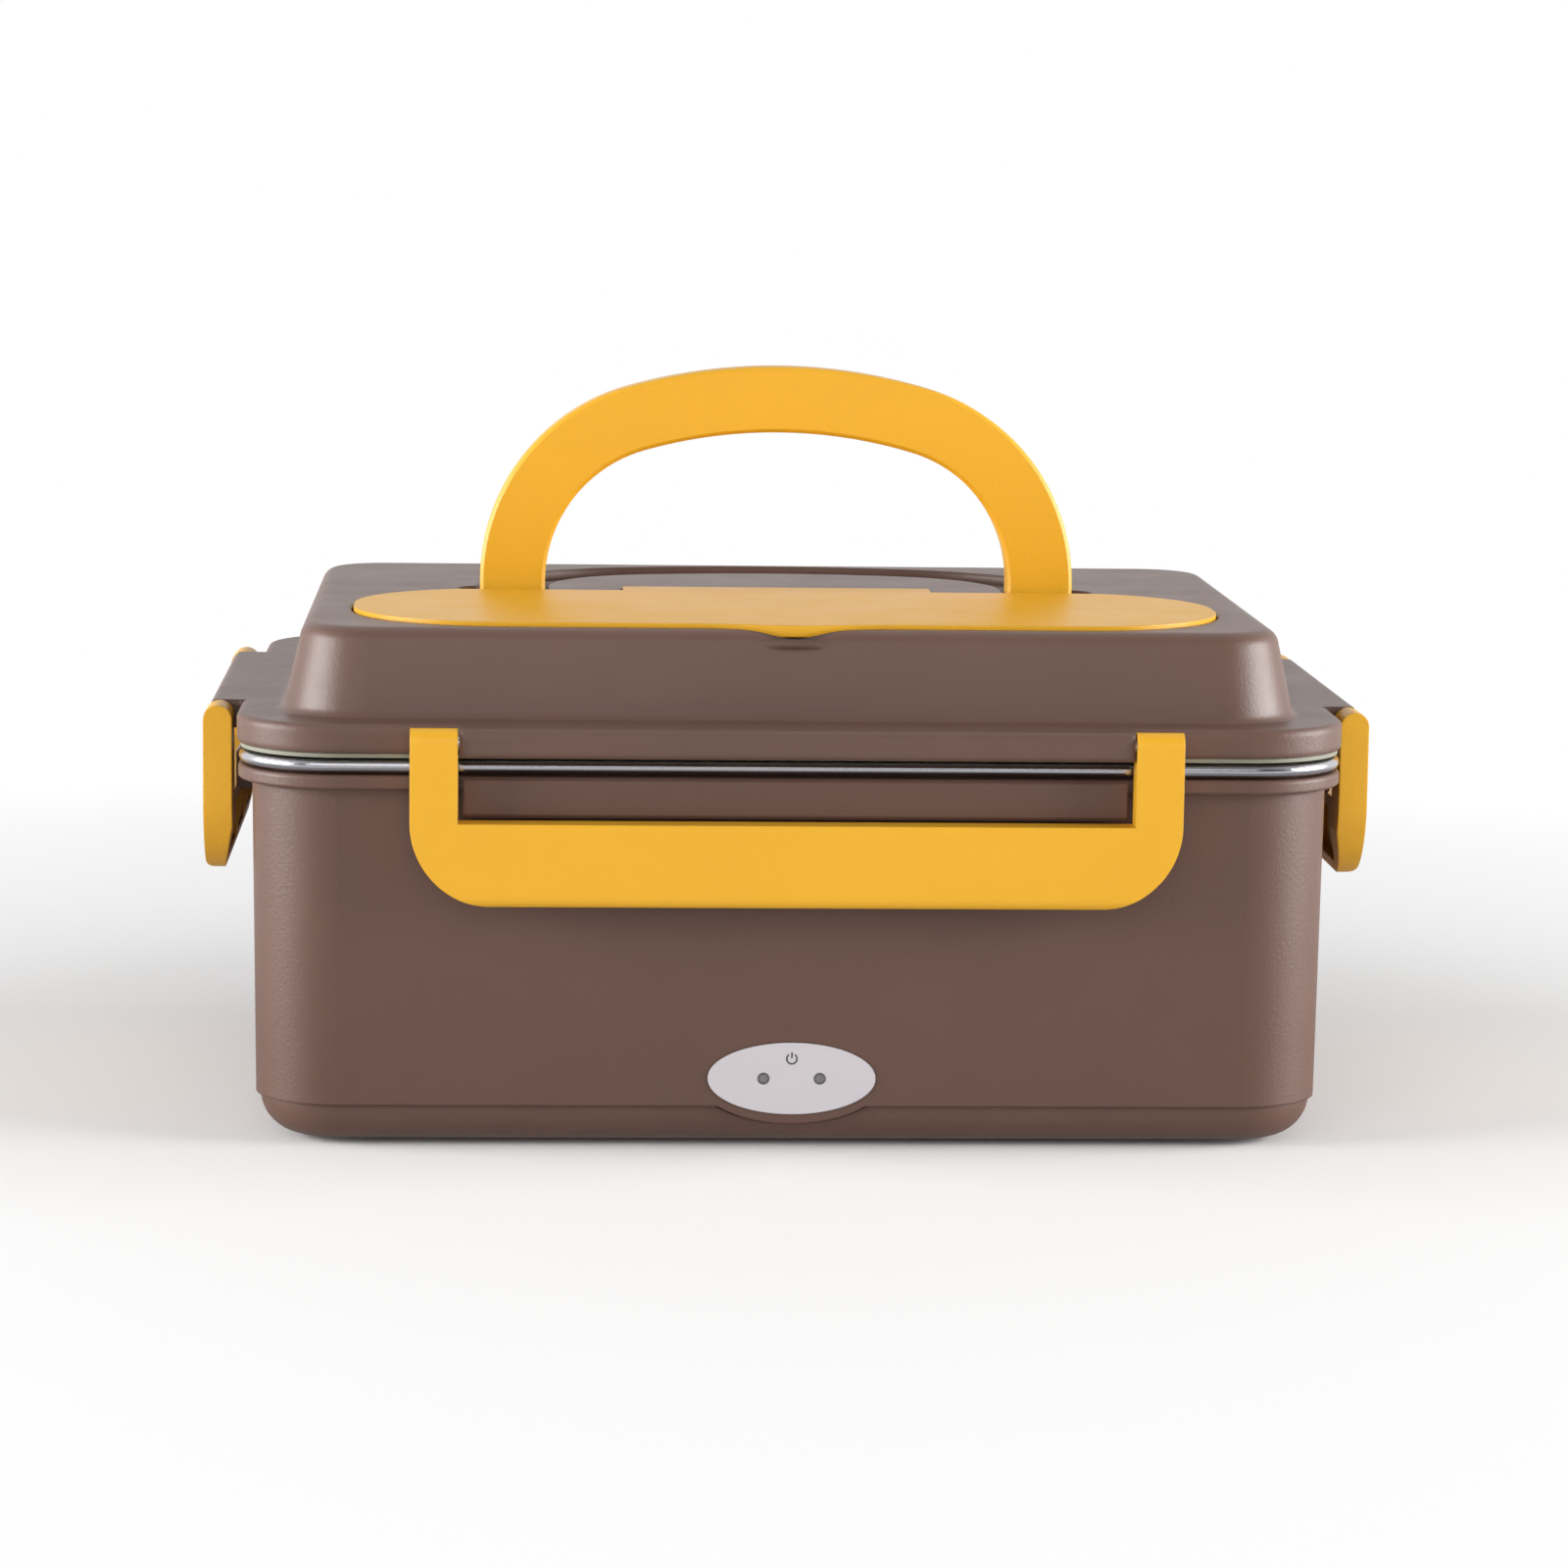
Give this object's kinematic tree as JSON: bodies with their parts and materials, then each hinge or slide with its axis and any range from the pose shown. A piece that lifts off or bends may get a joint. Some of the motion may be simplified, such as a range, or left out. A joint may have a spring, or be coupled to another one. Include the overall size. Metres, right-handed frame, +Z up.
{
  "type": "electric lunch box",
  "caption": "Portable heated lunch box: moulded body with heated floor, lift-out steel container, latched lid with folding handle and cutlery compartment.",
  "frame": {"origin": "on the table, under the centre of the body's plan", "axes": "+Z up, front face with the indicator panel towards -Y, +X along the long side"},
  "size_m": [0.2526, 0.1896, 0.1619],
  "materials": {
    "body_plastic": "fine satin moulded polypropylene, cocoa brown",
    "latch_plastic": "satin moulded polypropylene, amber yellow",
    "container_steel": "bright drawn stainless steel with a polished rim",
    "cutlery_steel": "polished stainless steel",
    "seal_silicone": "soft translucent silicone",
    "foot_rubber": "matt rubber",
    "panel_plastic": "satin light grey plastic",
    "light_pipe": "clear grey plastic",
    "led_resin": "clear resin",
    "circuit_board": "green solder mask",
    "inlet_plastic": "black moulded plastic",
    "contact_brass": "plated brass",
    "plate_aluminium": "plain rolled aluminium",
    "heater_ceramic": "ceramic",
    "spring_steel": "zinc-plated spring steel",
    "insulation_board": "pressed mica board",
    "wire_sleeve": "silicone wire insulation",
    "liner_plastic": "matt food-grade plastic",
    "screw_steel": "plated steel"
  },
  "bodies": {
    "base": {"outer_body": "body_plastic", "heater_tray": "body_plastic", "base_cover": "body_plastic", "rubber_feet": "foot_rubber", "base_screws": "screw_steel", "indicator_panel": "panel_plastic", "light_pipes": "light_pipe", "status_leds": "led_resin", "led_board": "circuit_board", "inlet_socket": "inlet_plastic", "inlet_pins": "contact_brass", "heating_plate": "plate_aluminium", "plate_screws": "screw_steel", "heater_elements": "heater_ceramic", "heater_clamp": "spring_steel", "clamp_nuts": "contact_brass", "heat_shield": "insulation_board", "thermostat": "inlet_plastic", "thermal_fuse": "heater_ceramic", "wiring_harness": "wire_sleeve"},
    "container": {"steel_container": "container_steel"},
    "lid": {"lid_shell": "body_plastic", "cutlery_tray": "body_plastic", "handle_channel": "body_plastic", "lid_liner": "liner_plastic", "lid_seal": "seal_silicone", "steam_valve": "seal_silicone", "latch_pins": "screw_steel", "handle_pins": "screw_steel", "cover_pin": "screw_steel", "spoon": "cutlery_steel", "fork": "cutlery_steel"},
    "front_latch": {"front_latch": "latch_plastic"},
    "rear_latch": {"rear_latch": "latch_plastic"},
    "left_latch": {"left_latch": "latch_plastic"},
    "right_latch": {"right_latch": "latch_plastic"},
    "handle": {"handle": "latch_plastic"},
    "cutlery_cover": {"cutlery_cover": "latch_plastic"}
  },
  "joints": [
    {"name": "container_lift", "type": "slide", "parent": "base", "child": "container", "axis": [0, 0, 1], "range_m": [0, 0.085]},
    {"name": "lid_lift", "type": "slide", "parent": "container", "child": "lid", "axis": [0, 0, 1], "range_m": [0, 0.06]},
    {"name": "front_latch_hinge", "type": "hinge", "parent": "lid", "child": "front_latch", "pos_m": [0, -0.0917, 0.0886], "axis": [-1, 0, 0], "range_deg": [0, 105]},
    {"name": "rear_latch_hinge", "type": "hinge", "parent": "lid", "child": "rear_latch", "pos_m": [0, 0.0917, 0.0886], "axis": [1, 0, 0], "range_deg": [0, 105]},
    {"name": "left_latch_hinge", "type": "hinge", "parent": "lid", "child": "left_latch", "pos_m": [-0.1232, 0, 0.0886], "axis": [0, 1, 0], "range_deg": [0, 105]},
    {"name": "right_latch_hinge", "type": "hinge", "parent": "lid", "child": "right_latch", "pos_m": [0.1232, 0, 0.0886], "axis": [0, -1, 0], "range_deg": [0, 105]},
    {"name": "handle_hinge", "type": "hinge", "parent": "lid", "child": "handle", "pos_m": [0, 0.0111, 0.1061], "axis": [-1, 0, 0], "range_deg": [0, 90]},
    {"name": "cover_hinge", "type": "hinge", "parent": "lid", "child": "cutlery_cover", "pos_m": [0, 0.0009, 0.1094], "axis": [-1, 0, 0], "range_deg": [0, 90]}
  ]
}
